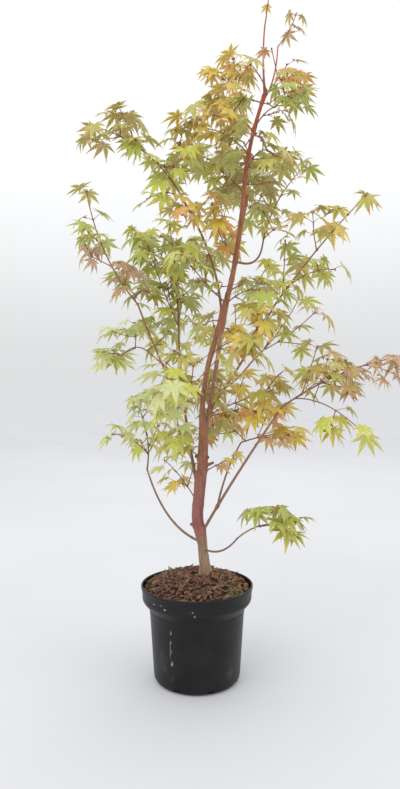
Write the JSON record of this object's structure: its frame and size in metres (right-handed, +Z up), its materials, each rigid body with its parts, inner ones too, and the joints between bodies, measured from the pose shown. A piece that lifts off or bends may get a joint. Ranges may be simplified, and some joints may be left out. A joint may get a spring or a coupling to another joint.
{
  "type": "potted coral bark maple",
  "caption": "Young coral-barked maple with an open, airy crown of lobed leaves in early autumn tints, standing in its round black nursery pot topped with bark mulch.",
  "frame": {"origin": "centre of the pot's flat underside", "axes": "+Z up along the pot's axis, +X to the plant's right, +Y to its back"},
  "size_m": [0.6137, 0.4471, 1.3232],
  "materials": {
    "pot": "near-black satin polypropylene with a chalky bloom and whitish drips",
    "soil": "mulch of red-brown bark chips, matte",
    "bark": "smooth mauve-pink to coral-brown bark, tan at the foot",
    "stem": "smooth coral-brown young bark",
    "leaf_green": "thin green maple leaf, soft satin",
    "leaf_lime": "thin lime maple leaf, soft satin",
    "leaf_olive": "thin olive maple leaf, soft satin",
    "leaf_pale": "thin pale maple leaf, soft satin",
    "leaf_gold": "thin gold maple leaf, soft satin",
    "leaf_orange": "thin orange maple leaf, soft satin",
    "leaf_coral": "thin coral maple leaf, soft satin",
    "leaf_rust": "thin rust maple leaf, soft satin",
    "leaf_brown": "thin brown maple leaf, soft satin"
  },
  "bodies": {
    "root": {"pot": "pot", "soil": "soil", "trunk": "bark", "second_stem": "stem", "low_left": "stem", "left_main": "stem", "left_sweep": "stem", "left_back": "stem", "upper_left": "stem", "right_rise": "stem", "right_inner": "stem", "right_sweep": "stem", "right_fork": "stem", "low_right": "stem", "right_upper": "stem", "leader": "stem", "leader_right": "stem", "leaves_leader_tip": "leaf_orange", "leaves_leader_right": "leaf_brown", "leaves_top": "leaf_coral", "leaves_high_right": "leaf_green", "leaves_high_left": "leaf_lime", "leaves_high_front": "leaf_olive", "leaves_upper_front": "leaf_green", "leaves_upper_back": "leaf_lime", "leaves_upper_left": "leaf_lime", "leaves_top_left": "leaf_olive", "leaves_left_rise": "leaf_green", "leaves_far_left": "leaf_brown", "leaves_left_back": "leaf_green", "leaves_low_left": "leaf_pale", "leaves_pale_low": "leaf_pale", "leaves_inner_low": "leaf_lime", "leaves_inner_left": "leaf_olive", "leaves_orange": "leaf_orange", "leaves_right_top": "leaf_lime", "leaves_right_mid": "leaf_green", "leaves_far_right": "leaf_rust", "leaves_centre_right": "leaf_gold", "leaves_orange_low": "leaf_gold", "leaves_low_right": "leaf_olive", "leaves_front_right": "leaf_green", "leaves_back_right": "leaf_green", "leaves_front_low": "leaf_olive", "leaves_right_upper": "leaf_green", "leaves_back_mid": "leaf_green", "leaves_back_low": "leaf_lime", "leaves_front_mid": "leaf_lime", "leaves_back_high": "leaf_olive", "leaves_sprout": "leaf_orange"}
  },
  "joints": []
}
